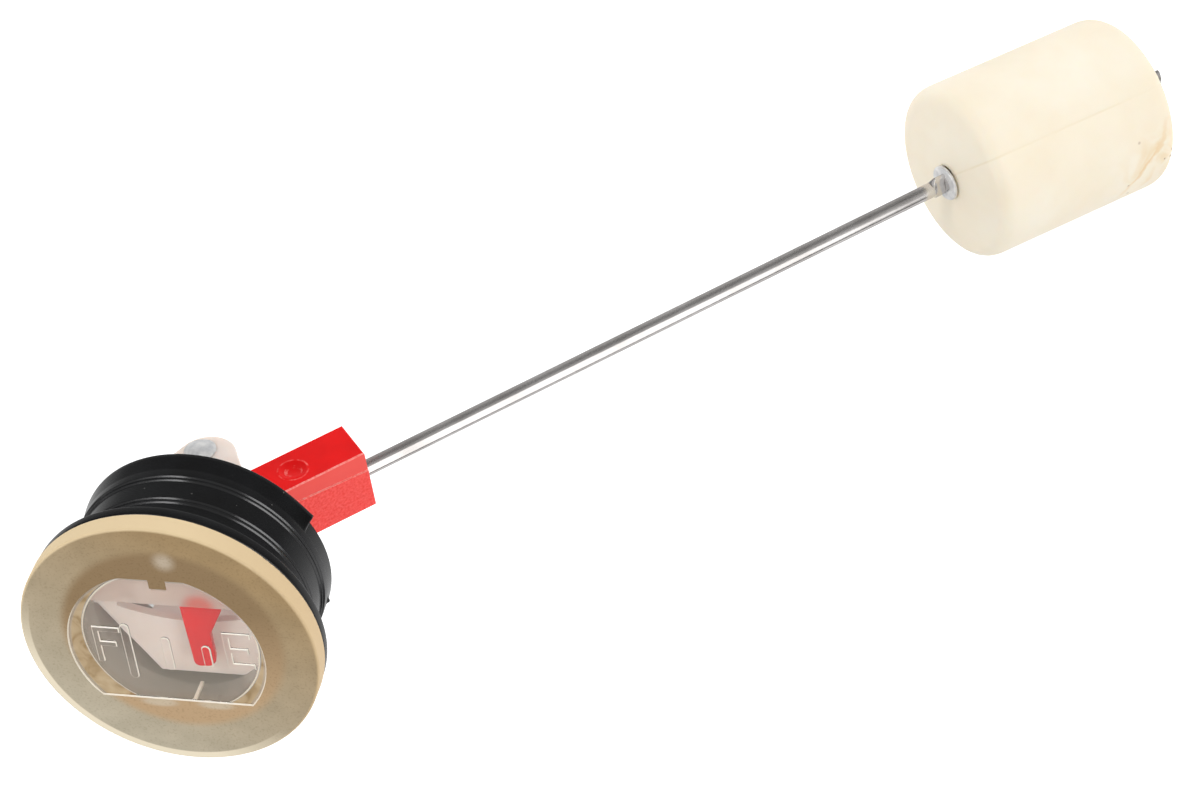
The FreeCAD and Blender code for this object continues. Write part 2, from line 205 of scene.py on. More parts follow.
# Nitrile rubber from a steel mould: near black, thin bright lines on the crests, a fine grain and a little
# dust. The grain is drawn coarser than the real one, so that it shows.
rubber, tree, out, where = new_material("moulded_nitrile_rubber")
cloud = add(tree, "TexNoise", None, Vector=where, Scale=1 / (6.0 * mm), Detail=3.0)
grain = add(tree, "TexNoise", None, Vector=where, Scale=1 / (0.35 * mm), Detail=2.0)
dust = add(tree, "TexVoronoi", None, Vector=where, Scale=1 / (3.6 * mm))
speck = add(tree, "MapRange", None, Value=dust, From_Min=0.03, From_Max=0.05, To_Min=0.5, To_Max=0.0)
tone = add(tree, "ValToRGB", {"stops": [(0.3, "#0B0B0C"), (0.7, "#121315")]}, Fac=cloud)
tone = add(tree, "Mix", mix_colour, Factor=speck, A=tone.outputs["Color"], B=linear("#6A6A66"))
rough = add(tree, "MapRange", None, Value=cloud, To_Min=0.14, To_Max=0.22)
relief = add(tree, "Bump", None, Height=grain, Strength=0.1, Distance=0.05 * mm)
skin = add(
    tree, "BsdfPrincipled", None, Base_Color=tone, Roughness=rough, Normal=relief, IOR=1.5,
    Specular_IOR_Level=0.5,
)
tree.links.new(skin.outputs[0], out.inputs["Surface"])
bung = mesh_from_grid("bung_skin", bung_surface(), True, True)
bung.data.materials.append(rubber)
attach(bung, "gauge_head")
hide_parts("rubber_bung")

# Lens. One moulding in clear acrylic that has yellowed with age: a round flange, the window with its raised
# F, E and three marks in a shallow recess, and the tube that the bung and the bracket sit on and in. The
# recess was polished in the mould, and the flange around it was blasted to a frosted face.
recess_centre = (-0.7, -1.5, 0.0)
recess_r = 17.4
recess_slope = 0.2
recess_flat = -12.4
recess_z = 5.9
recess_below = 0.5
mark_foot = 0.14
mark_fade = (4.5, 11.0)
polish_edge = 0.5
polish_top = 14.6
polish_top_half = 0.15
polish_notch_x = 0.25
polish_notch_half = 1.55
polish_notch_y = 12.8
window_back = 4.6
window_back_half = 0.04
front_bore_r = 15.8
bore_seen_at = (0.43, 0.86, 0.0)
bore_wall = (-0.05, 0.15)
bore_shade = (5.0, 10.0)
bore_edge_in = 0.14
bore_edge_half = 0.16
key_rib_in = 0.06
flange_r = 26.4
flange_back = 2.2
rim_in = (0.5, 0.15)
rim_shade = (6.0, 25.0)
painted_edge_in = (1.75, 1.5)
tube_r = 19.6
tube_skin = 0.6
tube_end = -16.8
tube_seen_at = (1.0, 1.6, 0.0)
tube_blur = 1.1
tube_shade = (-12.0, 9.0)
boss_seen_at = (2.5, 19.4, 0.0)
boss_spot = (0.3, 2.8)
feet_seen_at = ((-4.0, -13.3, 0.0), (6.2, -13.1, 0.0))
foot_spot = (0.5, 1.3)
foot_squeeze = 0.3
level_play = 0.05
below_play = 0.1

# Settings of the nodes that find where on the lens a point lies. The later pieces use them too.
multiply = {"operation": "MULTIPLY"}
maximum = {"operation": "MAXIMUM"}
compare = {"operation": "COMPARE"}
less_than = {"operation": "LESS_THAN"}
greater_than = {"operation": "GREATER_THAN"}
absolute = {"operation": "ABSOLUTE"}
length = {"operation": "LENGTH"}
distance = {"operation": "DISTANCE"}
dot_product = {"operation": "DOT_PRODUCT"}
smooth = {"interpolation_type": "SMOOTHSTEP"}
multiply_colour = {"data_type": "RGBA", "blend_type": "MULTIPLY"}

# Yellowed acrylic: the polished window is clear with a slight haze, its sloped marks carry a painted cream
# highlight, the frosted ring is painted khaki, paler towards its lower side as painted light, with painted
# brown shade from the tube behind it, and the tube against the rubber reads brown. The grit of the frosted
# face is drawn coarser than the real one, so that it shows.
acrylic, tree, out, where = new_material("yellowed_moulded_acrylic")
in_mm = add(tree, "Mapping", None, Vector=where, Scale=(1 / mm, 1 / mm, 1 / mm))
axes = add(tree, "SeparateXYZ", None, Vector=in_mm).outputs
facing = add(tree, "SeparateXYZ", None, Vector=add(tree, "TexCoord").outputs["Normal"]).outputs["Z"]
flat = add(tree, "CombineXYZ", None, X=axes["X"], Y=axes["Y"])
radius = add(tree, "VectorMath", length, i0=flat)
from_recess = add(tree, "VectorMath", distance, i0=flat, i1=recess_centre)
from_tube = add(tree, "VectorMath", distance, i0=flat, i1=tube_seen_at)
from_boss = add(tree, "VectorMath", distance, i0=flat, i1=boss_seen_at)
from_bore = add(tree, "VectorMath", distance, i0=flat, i1=bore_seen_at)

# The polished window is the recess's circle, cut by its flat side, by the top edge and by the notch.
round_part = add(
    tree, "MapRange", None, Value=from_recess, From_Min=recess_r - polish_edge,
    From_Max=recess_r + recess_slope, To_Min=1.0, To_Max=0.0,
)
above_flat = add(
    tree, "MapRange", None, Value=axes["Y"], From_Min=recess_flat - recess_slope, From_Max=recess_flat,
)
below_top = add(
    tree, "MapRange", None, Value=axes["Y"], From_Min=polish_top - polish_top_half,
    From_Max=polish_top + polish_top_half, To_Min=1.0, To_Max=0.0,
)
in_notch = add(tree, "Math", compare, i0=axes["X"], i1=polish_notch_x, i2=polish_notch_half)
above_notch = add(tree, "Math", greater_than, i0=axes["Y"], i1=polish_notch_y)
in_notch = add(tree, "Math", multiply, i0=in_notch, i1=above_notch)
window = add(tree, "Math", multiply, i0=round_part, i1=above_flat)
window = add(tree, "Math", multiply, i0=window, i1=below_top)
window = add(tree, "Math", {"operation": "SUBTRACT", "use_clamp": True}, i0=window, i1=in_notch)

# The bore is the tube's inside behind the window, and the lined part is its outside against the rubber.
within = add(tree, "Math", less_than, i0=radius, i1=tube_r - tube_skin)
deep = add(tree, "Math", less_than, i0=axes["Z"], i1=recess_z - recess_below)
inside = add(tree, "Math", multiply, i0=within, i1=deep)
clear = add(tree, "Math", maximum, i0=window, i1=inside)
below_window = add(tree, "Math", less_than, i0=axes["Z"], i1=window_back - level_play)
bore = add(tree, "Math", multiply, i0=inside, i1=below_window)
outer = add(tree, "Math", greater_than, i0=radius, i1=tube_r - tube_skin)
behind = add(tree, "Math", less_than, i0=axes["Z"], i1=flange_back + below_play)
lined = add(tree, "Math", multiply, i0=outer, i1=behind)
tube_tip = add(tree, "Math", less_than, i0=axes["Z"], i1=tube_end + below_play)
lined = add(tree, "Math", maximum, i0=lined, i1=tube_tip)

# The slopes and crisp edges of the raised marks, the key rib and the bore's edge get a painted cream
# highlight.
level = add(tree, "Math", absolute, i0=facing)
leaning = add(tree, "Math", less_than, i0=level, i1=0.9)
raised = add(tree, "Math", greater_than, i0=axes["Z"], i1=recess_z + mark_foot)
slope = add(tree, "Math", multiply, i0=leaning, i1=raised)
slope = add(tree, "Math", multiply, i0=slope, i1=within)
upper = add(tree, "MapRange", None, Value=axes["Y"], From_Min=mark_fade[0], From_Max=mark_fade[1])
fade = add(tree, "MapRange", None, Value=upper, To_Min=0.8, To_Max=0.0)
slope = add(tree, "Math", multiply, i0=slope, i1=fade)
bent = add(tree, "Bevel", {"samples": 4}, Radius=0.16 * mm)
straight = add(tree, "NewGeometry").outputs["True Normal"]
agree = add(tree, "VectorMath", dot_product, i0=bent, i1=straight)
crisp = add(tree, "MapRange", None, Value=agree, From_Min=0.95, From_Max=0.99, To_Min=0.75, To_Max=0.0)
crisp = add(tree, "Math", multiply, i0=crisp, i1=raised)
crisp = add(tree, "Math", multiply, i0=crisp, i1=window)
slope = add(tree, "Math", maximum, i0=slope, i1=crisp)
key_rib = add(tree, "Math", less_than, i0=radius, i1=front_bore_r - key_rib_in)
key_rib = add(tree, "Math", multiply, i0=key_rib, i1=bore)
bore_edge = add(tree, "Math", compare, i0=radius, i1=front_bore_r - bore_edge_in, i2=bore_edge_half)
at_back = add(tree, "Math", compare, i0=axes["Z"], i1=window_back, i2=window_back_half)
bore_edge = add(tree, "Math", multiply, i0=bore_edge, i1=at_back)
painted_highlight = add(tree, "Math", maximum, i0=key_rib, i1=bore_edge)
painted_highlight = add(tree, "Math", maximum, i0=painted_highlight, i1=slope)

# The wall is the strip of window in front of the tube's wall, and the rim is the flange's outer side.
wall = add(
    tree, "MapRange", None, Value=from_bore, From_Min=front_bore_r + bore_wall[0],
    From_Max=front_bore_r + bore_wall[1],
)
front = add(tree, "Math", greater_than, i0=axes["Z"], i1=recess_z - level_play)
wall = add(tree, "Math", multiply, i0=wall, i1=front)
wall = add(tree, "Math", multiply, i0=wall, i1=window)
rim = add(
    tree, "MapRange", None, Value=radius, From_Min=flange_r - rim_in[0], From_Max=flange_r - rim_in[1],
)

# The frosted face is painted khaki, paler towards its lower side as painted light, with painted brown shade
# from the tube behind it, darker towards the top, and pale spots painted where the boss and the feet show
# through.
mottle = add(tree, "TexNoise", None, Vector=in_mm, Scale=1 / 5.0, Detail=5.0)
speckle = add(tree, "TexNoise", None, Vector=in_mm, Scale=1 / 0.4, Detail=2.0)
# Painted light: the frost is made paler towards its lower side.
painted_lower_light = add(tree, "VectorMath", dot_product, i0=flat, i1=(-0.021, -0.034, 0.0))
painted_lower_light = add(tree, "MapRange", None, Value=painted_lower_light, From_Min=-0.9, From_Max=0.9)
frost = add(tree, "Mix", mix_colour, Factor=painted_lower_light, A=linear("#A88C62"), B=linear("#C2B7A0"))
cloud = add(tree, "ValToRGB", {"stops": [(0.3, "#EEEEEC"), (0.7, "#FFFFFF")]}, Fac=mottle)
frost = add(tree, "Mix", multiply_colour, Factor=1.0, A=frost, B=cloud.outputs["Color"])
# Painted brown shade where the tube behind shows through, darker towards the top.
shade = add(tree, "MapRange", None, Value=axes["Y"], From_Min=tube_shade[0], From_Max=tube_shade[1])
shade = add(tree, "Mix", mix_colour, Factor=shade, A=linear("#BFA07A"), B=linear("#907652"))
painted_tube_shade = add(
    tree, "MapRange", smooth, Value=from_tube, From_Min=tube_r - tube_blur, From_Max=tube_r + tube_blur,
    To_Min=1.0, To_Max=0.0,
)
frost = add(tree, "Mix", mix_colour, Factor=painted_tube_shade, A=frost, B=shade)
boss = add(
    tree, "MapRange", smooth, Value=from_boss, From_Min=boss_spot[0], From_Max=boss_spot[1],
    To_Min=0.6, To_Max=0.0,
)
frost = add(tree, "Mix", mix_colour, Factor=boss, A=frost, B=linear("#D6C8B4"))
for foot_x, foot_y, foot_z in feet_seen_at:
    squeezed = add(
        tree, "VectorMath", {"operation": "MULTIPLY_ADD"}, i0=flat, i1=(foot_squeeze, 1.0, 0.0),
        i2=(-foot_squeeze * foot_x, -foot_y, foot_z),
    )
    from_foot = add(tree, "VectorMath", length, i0=squeezed)
    foot = add(
        tree, "MapRange", smooth, Value=from_foot, From_Min=foot_spot[0], From_Max=foot_spot[1],
        To_Min=0.65, To_Max=0.0,
    )
    frost = add(tree, "Mix", mix_colour, Factor=foot, A=frost, B=linear("#D2C5AE"))
dots = add(tree, "ValToRGB", {"stops": [(0.3, "#CFC8BA"), (0.46, "#FFFFFF")]}, Fac=speckle)
frost = add(tree, "Mix", multiply_colour, Factor=0.4, A=frost, B=dots.outputs["Color"])
# A painted highlight runs along the flange's lower front edge.
painted_edge_light = add(
    tree, "MapRange", None, Value=radius, From_Min=flange_r - painted_edge_in[0],
    From_Max=flange_r - painted_edge_in[1],
)
painted_lowest_light = add(tree, "MapRange", None, Value=painted_lower_light, From_Min=0.62, From_Max=0.92)
painted_edge_light = add(tree, "Math", multiply, i0=painted_edge_light, i1=painted_lowest_light)
frost = add(tree, "Mix", mix_colour, Factor=painted_edge_light, A=frost, B=linear("#F2E5CA"))
# The rim is painted darker towards the right as shade, and paler on its lower part as painted light.
painted_shade_rightward = add(tree, "MapRange", None, Value=axes["X"], From_Min=rim_shade[0], From_Max=rim_shade[1])
painted_rim_tone = add(tree, "Mix", mix_colour, Factor=painted_shade_rightward, A=linear("#DEC69C"), B=linear("#CFB48A"))
painted_rim_tone = add(tree, "Mix", mix_colour, Factor=painted_lowest_light, A=painted_rim_tone, B=linear("#F2E5CA"))
frost = add(tree, "Mix", mix_colour, Factor=rim, A=frost, B=painted_rim_tone)

# The parts are laid over one another, each with its own colour, clearness and gloss.
body = add(tree, "Mix", mix_colour, Factor=clear, A=frost, B=linear("#F6F5F3"))
# The bore is painted grey below, turning to a brown painted shade towards the top.
painted_bore_shade = add(tree, "MapRange", None, Value=axes["Y"], From_Min=bore_shade[0], From_Max=bore_shade[1])
bore_tone = add(tree, "Mix", mix_colour, Factor=painted_bore_shade, A=linear("#C0BBAE"), B=linear("#8A7557"))
body = add(tree, "Mix", mix_colour, Factor=bore, A=body, B=bore_tone)
streak = add(tree, "TexNoise", None, Vector=in_mm, Scale=1 / 4.0, Detail=2.0, Distortion=1.0)
streak = add(
    tree, "ValToRGB", {"stops": [(0.33, "#A88C63"), (0.45, "#C3A983"), (0.7, "#D2BB97")]}, Fac=streak,
)
body = add(tree, "Mix", mix_colour, Factor=wall, A=body, B=streak.outputs["Color"])
body = add(tree, "Mix", mix_colour, Factor=lined, A=body, B=linear("#9A8259"))
# Painted cream highlight on the marks' slopes and edges, the key rib and the bore's edge.
body = add(tree, "Mix", mix_colour, Factor=painted_highlight, A=body, B=linear("#FBF2E0"))
see = add(tree, "MapRange", None, Value=clear, To_Max=0.985)
see = add(tree, "Mix", None, Factor=bore, A=see, B=0.45)
see = add(tree, "Mix", None, Factor=wall, A=see, B=0.15)
solid = add(tree, "Math", maximum, i0=lined, i1=painted_highlight)
see = add(tree, "Mix", None, Factor=solid, A=see, B=0.0)
rough = add(tree, "MapRange", None, Value=clear, To_Min=0.5, To_Max=0.03)
rough = add(tree, "Mix", None, Factor=bore, A=rough, B=0.25)
bite = add(tree, "MapRange", None, Value=clear, To_Min=0.25, To_Max=0.0)
relief = add(tree, "Bump", None, Height=speckle, Strength=bite, Distance=0.06 * mm)
skin = add(
    tree, "BsdfPrincipled", None, Base_Color=body, Roughness=rough, IOR=1.49, Transmission_Weight=see,
    Normal=relief,
)
tree.links.new(skin.outputs[0], out.inputs["Surface"])
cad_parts["lens"].material_slots[0].material = acrylic
# The renderer lets no lamp's light through a clear solid, so the lens is set to cast no shadow.
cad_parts["lens"].visible_shadow = False

# Pivot bracket. One moulding in undyed nylon, milky and slightly see-through: the dial plate with its slot,
# the visor bar in front of it, and two plates that run back out of the tube and carry the pivot pin.
visor_z = (1.6, 1.7)
painted_glow_at = (6.0, 7.6)
painted_glow_half = (3.7, 3.4)

# A Mapping node with this setting gives places measured from a point of the piece, in a unit of its own.
measured_from = {"vector_type": "TEXTURE"}

# Undyed nylon: a milky cream that light passes into. The red of the pointer is painted into the visor as a
# soft glow in front of its rest position, and it does not follow the pointer.
nylon, tree, out, where = new_material("milky_moulded_nylon")
cloud = add(tree, "TexNoise", None, Vector=where, Scale=1 / (9.0 * mm), Detail=3.0)
grain = add(tree, "TexNoise", None, Vector=where, Scale=1 / (0.5 * mm), Detail=2.0)
tone = add(tree, "ValToRGB", {"stops": [(0.3, "#E6D7CD"), (0.7, "#ECE1D9")]}, Fac=cloud)
forward = add(tree, "SeparateXYZ", None, Vector=where).outputs["Z"]
visor = add(tree, "MapRange", None, Value=forward, From_Min=visor_z[0] * mm, From_Max=visor_z[1] * mm)
# The red glow in the visor is painted, at the pointer's rest position only.
from_painted_glow = add(
    tree, "Mapping", measured_from, Vector=where,
    Location=(painted_glow_at[0] * mm, painted_glow_at[1] * mm, 0.0),
    Scale=(painted_glow_half[0] * mm, painted_glow_half[1] * mm, 1.0),
)
from_painted_glow = add(tree, "VectorMath", length, i0=from_painted_glow)
painted_red_glow = add(tree, "MapRange", smooth, Value=from_painted_glow, From_Min=0.35, From_Max=1.0, To_Min=0.82, To_Max=0.0)
painted_red_glow = add(tree, "Math", multiply, i0=painted_red_glow, i1=visor)
dull = add(tree, "Math", multiply, i0=visor, i1=0.6)
tone = add(tree, "Mix", mix_colour, Factor=dull, A=tone.outputs["Color"], B=linear("#DEC4B4"))
tone = add(tree, "Mix", mix_colour, Factor=painted_red_glow, A=tone, B=linear("#FA7C69"))
passed = add(tree, "MapRange", None, Value=visor, To_Min=0.12, To_Max=0.5)
rough = add(tree, "MapRange", None, Value=visor, To_Min=0.42, To_Max=0.3)
relief = add(tree, "Bump", None, Height=grain, Strength=0.08, Distance=0.05 * mm)
skin = add(
    tree, "BsdfPrincipled", None, Base_Color=tone, Roughness=rough, IOR=1.12, Normal=relief,
    Transmission_Weight=passed, Subsurface_Weight=0.6, Subsurface_Radius=(1.0, 0.85, 0.75),
    Subsurface_Scale=2.0 * mm,
)
tree.links.new(skin.outputs[0], out.inputs["Surface"])
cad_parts["pivot_bracket"].material_slots[0].material = nylon

# Pivot pin. A zinc-plated steel rivet through both plates and the lever's hub: a low dome on top,
# and the lower end peened over.
pivot = (-3.0, 0.0, -29.7)
pin_r = 1.5
pin_plate_y = 12.9
pin_head_r = 2.85
pin_head_rise = 1.2
pin_head_side = 0.3
pin_head_chamfer = (0.1, 0.12)
pin_tail_r = 2.3
pin_tail_rise = 0.8
pin_tail_side = 0.2
pin_columns = 96


def pin_surface():
    """Outline of radius and height turned about the pivot axis: peened end, shank and domed head,
    where each dome falls off with the square of the radius."""
    t = np.linspace(0.0, 1.0, 14)
    head_y = pin_plate_y + pin_head_side + (pin_head_rise - pin_head_side) * (1 - t[::-1] ** 2)
    tail_y = -pin_plate_y - pin_tail_side - (pin_tail_rise - pin_tail_side) * (1 - t**2)
    dome = np.stack([pin_head_r * t[::-1], head_y], axis=1)
    cup = np.stack([pin_tail_r * t, tail_y], axis=1)
    rims = [(pin_tail_r, -pin_plate_y), (pin_r, -pin_plate_y), (pin_r, pin_plate_y)]
    cut_in, cut_up = pin_head_chamfer
    rims += [(pin_head_r - cut_in, pin_plate_y), (pin_head_r, pin_plate_y + cut_up)]
    outline = np.vstack([cup, rims, dome])
    angle = np.linspace(0.0, 2 * math.pi, pin_columns, endpoint=False)[:, None]
    x = pivot[0] + outline[None, :, 0] * np.cos(angle)
    z = pivot[2] + outline[None, :, 0] * np.sin(angle)
    y = np.broadcast_to(outline[None, :, 1], x.shape)
    return np.stack([x, y, z], axis=-1) * mm


# Bright zinc plating on steel: cool grey, a little cloudy, with small dents from the rivet press.
zinc, tree, out, where = new_material("bright_zinc_plating")
cloud = add(tree, "TexNoise", None, Vector=where, Scale=1 / (1.6 * mm), Detail=4.0)
dent = add(tree, "TexNoise", None, Vector=where, Scale=1 / (0.9 * mm), Detail=1.0)
tone = add(tree, "ValToRGB", {"stops": [(0.3, "#CDCED0"), (0.7, "#F6F5F3")]}, Fac=cloud)
rough = add(tree, "MapRange", None, Value=cloud, To_Min=0.32, To_Max=0.5)
relief = add(tree, "Bump", None, Height=dent, Strength=0.7, Distance=0.25 * mm)
skin = add(
    tree, "BsdfPrincipled", None, Base_Color=tone.outputs["Color"], Metallic=0.35, Roughness=rough,
    Normal=relief,
)
tree.links.new(skin.outputs[0], out.inputs["Surface"])
pin = mesh_from_grid("pivot_rivet", pin_surface(), True, False)
pin.data.materials.append(zinc)
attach(pin, "gauge_head")
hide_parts("pivot_pin")

# Pointer lever. One moulding in red acetal: a hub on the pin, the pointer finger behind the window, and the
# arm block that grips the float wire. The block's top came out of the mould glossy, its lower sides grained.
arm_drop = math.radians(45.6)
arm_along = np.array([math.cos(arm_drop), 0.0, -math.sin(arm_drop)])
arm_across = np.array([math.sin(arm_drop), 0.0, math.cos(arm_drop)])
arm_y = -6.2
arm_w = 1.88
block_from = 2.0
block_end = 27.8
block_side = 6.4
side_in = (0.45, 0.25)
fold_in = 0.32
fold_half = 0.16
grain_top = (-1.6, -2.85)
grain_edge = (-0.15, 0.1)
step_at = -0.1
step_half = 0.14
dimple_at = (block_end - 12.2, arm_w, 0.0)
dimple_r = 2.75
dimple_half = 0.16
inner_glint_r = 1.35
inner_glint_half = 0.3

# Red acetal: strong clear red, glossy where the mould was polished and pale and pebbled where it was spark
# eroded. Its upper side face is painted a paler red as sheen, and painted highlights lie along its folds and
# in broken rings in the dimple on top.
acetal, tree, out, where = new_material("red_moulded_acetal")
along_arm = add(
    tree, "Mapping", measured_from, Vector=where, Location=[v * mm for v in pivot],
    Rotation=(0.0, arm_drop, 0.0), Scale=(mm, mm, mm),
)
axes = add(tree, "SeparateXYZ", None, Vector=along_arm).outputs
line = add(
    tree, "MapRange", None, Value=axes["X"], From_Max=block_end, To_Min=grain_top[0], To_Max=grain_top[1],
)
under = add(tree, "Math", {"operation": "SUBTRACT"}, i0=line, i1=axes["Y"])
on_block = add(tree, "Math", greater_than, i0=axes["X"], i1=block_from)
grained = add(tree, "MapRange", None, Value=under, From_Min=grain_edge[0], From_Max=grain_edge[1])
grained = add(tree, "Math", multiply, i0=grained, i1=on_block)
pebble = add(tree, "TexNoise", None, Vector=along_arm, Scale=1 / 0.5, Detail=2.0)
cloud = add(tree, "TexNoise", None, Vector=along_arm, Scale=1 / 7.0, Detail=3.0)
gloss_and_sheen_tone = add(tree, "ValToRGB", {"stops": [(0.3, "#D90405"), (0.7, "#E80808")]}, Fac=cloud)
on_side = add(
    tree, "MapRange", None, Value=axes["Z"], From_Min=block_side - side_in[0],
    From_Max=block_side - side_in[1],
)
on_side = add(tree, "Math", multiply, i0=on_side, i1=on_block)
# Painted pale highlights follow the top edge, the step line on the side and two broken rings in the dimple.
painted_glint = add(tree, "Math", compare, i0=axes["Z"], i1=block_side - fold_in, i2=fold_half)
step = add(tree, "Math", compare, i0=under, i1=step_at, i2=step_half)
step = add(tree, "Math", multiply, i0=step, i1=on_side)
painted_glint = add(tree, "Math", maximum, i0=painted_glint, i1=step)
painted_glint = add(tree, "Math", multiply, i0=painted_glint, i1=on_block)
on_top = add(tree, "CombineXYZ", None, X=axes["X"], Y=axes["Z"])
from_dimple = add(tree, "VectorMath", distance, i0=on_top, i1=dimple_at)
dimple_glint = add(tree, "Math", compare, i0=from_dimple, i1=dimple_r, i2=dimple_half)
inner_glint = add(tree, "Math", compare, i0=from_dimple, i1=inner_glint_r, i2=inner_glint_half)
dimple_glint = add(tree, "Math", maximum, i0=dimple_glint, i1=inner_glint)
broken = add(tree, "TexNoise", None, Vector=along_arm, Scale=1 / 1.6, Detail=2.0)
broken = add(tree, "MapRange", None, Value=broken, From_Min=0.45, From_Max=0.65, To_Max=0.55)
dimple_glint = add(tree, "Math", multiply, i0=dimple_glint, i1=broken)
patchy = add(tree, "MapRange", None, Value=pebble, From_Min=0.35, From_Max=0.65, To_Min=0.3, To_Max=0.9)
painted_glint = add(tree, "Math", maximum, i0=painted_glint, i1=dimple_glint)
painted_glint = add(tree, "Math", multiply, i0=painted_glint, i1=patchy)
# The block's upper side face is painted a paler red as a painted sheen.
gloss_and_sheen_tone = add(
    tree, "Mix", mix_colour, Factor=on_side, A=gloss_and_sheen_tone.outputs["Color"], B=linear("#F3564F"),
)
grain_tone = add(tree, "ValToRGB", {"stops": [(0.3, "#F0403C"), (0.7, "#FF625C")]}, Fac=pebble)
tone = add(tree, "Mix", mix_colour, Factor=grained, A=gloss_and_sheen_tone, B=grain_tone.outputs["Color"])
tone = add(tree, "Mix", mix_colour, Factor=painted_glint, A=tone, B=linear("#FFA69E"))
rough = add(tree, "MapRange", None, Value=grained, To_Min=0.22, To_Max=0.5)
bite = add(tree, "MapRange", None, Value=grained, To_Min=0.04, To_Max=0.5)
relief = add(tree, "Bump", None, Height=pebble, Strength=bite, Distance=0.12 * mm)
skin = add(
    tree, "BsdfPrincipled", None, Base_Color=tone, Roughness=rough, IOR=1.48, Normal=relief,
    Specular_IOR_Level=0.25, Subsurface_Weight=0.15, Subsurface_Radius=(1.0, 0.2, 0.15),
    Subsurface_Scale=1.0 * mm,
)
tree.links.new(skin.outputs[0], out.inputs["Surface"])
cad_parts["pointer_lever"].material_slots[0].material = acetal

# Float wire. Bright drawn steel wire pressed into the arm block, pinched flat into two ears in front of the
# near washer and behind the far one, with its free end nipped flat.
wire_r = 1.5
wire_from = 8.2
wire_to = 211.7
ears = ((156.5, 159.2), (204.8, 207.5))
ear_half = (2.3, 0.75)
ear_slope = 1.2
ear_reach = 0.8
ear_row = 0.1
ear_shoulder = 0.02
tip_from = 209.0
tip_half = (1.85, 0.95)
wire_columns = 40


def arm_point(along, up, across):
    """Points in metres from distances along the arm, up the dial and across the arm, all from the pivot."""
    base = np.array(pivot) + along[..., None] * arm_along + across[..., None] * arm_across
    return (base + up[..., None] * np.array([0.0, 1.0, 0.0])) * mm


def wire_surface():
    """Ring of points carried along the arm. Each ring is an oval whose half height and half width blend from
    the round wire to the flattened ear or tip, with a short slope at each end."""
    near_ear, far_ear = ears
    s = [np.linspace(wire_from, near_ear[0] - ear_reach - ear_row, 40)]
    s += [np.linspace(near_ear[0] - ear_reach, near_ear[1], 22)]
    s += [np.linspace(near_ear[1] + ear_shoulder, far_ear[0] - ear_shoulder, 24)]
    s += [np.linspace(far_ear[0], far_ear[1] + ear_reach, 22)]
    s += [np.linspace(far_ear[1] + ear_reach + ear_row, wire_to, 28)]
    s = np.concatenate(s)
    near = np.clip((s - near_ear[0]) / ear_slope + 0.5, 0.0, 1.0) * (s <= near_ear[1])
    far = np.clip((far_ear[1] - s) / ear_slope + 0.5, 0.0, 1.0) * (s >= far_ear[0])
    ear = np.maximum(near, far)
    ear = ear * ear * (3 - 2 * ear)
    tip = np.clip((s - tip_from) / ear_slope + 0.5, 0.0, 1.0)
    tip = tip * tip * (3 - 2 * tip)
    up = wire_r + ear * (ear_half[0] - wire_r) + tip * (tip_half[0] - wire_r)
    across = wire_r + ear * (ear_half[1] - wire_r) + tip * (tip_half[1] - wire_r)
    s = np.concatenate([s[:1], s, s[-1:]])
    up = np.concatenate([[0.0], up, [0.0]])
    across = np.concatenate([[0.0], across, [0.0]])
    angle = np.linspace(0.0, 2 * math.pi, wire_columns, endpoint=False)[None, :]
    y = arm_y + up[:, None] * np.sin(angle)
    w = arm_w + across[:, None] * np.cos(angle)
    return arm_point(np.broadcast_to(s[:, None], y.shape), y, w)


# Bright drawn steel: mirror-like, with draw lines along the wire that are made coarser than real to show.
drawn, tree, out, where = new_material("bright_drawn_steel")
along_wire = add(
    tree, "Mapping", measured_from, Vector=where, Rotation=(0.0, arm_drop, 0.0), Scale=(40.0 * mm, mm, mm),
)
line = add(tree, "TexNoise", None, Vector=along_wire, Scale=1 / 0.3, Detail=2.0)
stain = add(tree, "TexNoise", None, Vector=where, Scale=1 / (8.0 * mm), Detail=3.0)
tone = add(tree, "ValToRGB", {"stops": [(0.3, "#C4C0BD"), (0.7, "#DEDBD9")]}, Fac=stain)
rough = add(tree, "MapRange", None, Value=line, To_Min=0.06, To_Max=0.15)
relief = add(tree, "Bump", None, Height=line, Strength=0.06, Distance=0.03 * mm)
skin = add(
    tree, "BsdfPrincipled", None, Base_Color=tone.outputs["Color"], Metallic=0.8, Roughness=rough,
    Normal=relief,
)
tree.links.new(skin.outputs[0], out.inputs["Surface"])
wire = mesh_from_grid("float_wire", wire_surface(), False, True)
wire.data.materials.append(drawn)
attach(wire, "lever")
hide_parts("float_rod")

# Washers. Two stamped steel washers, zinc plated, one at each end of the float, held by the wire's ears.
# The stamping left one edge rounder than the other.
washer_r = 3.5
washer_bore = 1.6
washer_t = 0.6
washer_edges = (0.1, 0.2, 0.12, 0.1)
washer_columns = 72
washers = (
    ("near_washer", ears[0][1], "float_washer_near"),
    ("far_washer", ears[1][0] - washer_t, "float_washer_far"),
)
for name, start, node in washers:
    end = start + washer_t
    corners = [(start, washer_bore), (start, washer_r), (end, washer_r), (end, washer_bore)]
    outline = rounded(corners, washer_edges)
    angle = np.linspace(0.0, 2 * math.pi, washer_columns, endpoint=False)[:, None]
    y = arm_y + outline[None, :, 1] * np.sin(angle)
    w = arm_w + outline[None, :, 1] * np.cos(angle)
    ring = arm_point(np.broadcast_to(outline[None, :, 0], y.shape), y, w)
    washer = mesh_from_grid(name, ring, True, True)
    washer.data.materials.append(zinc)
    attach(washer, "lever")
    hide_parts(node)

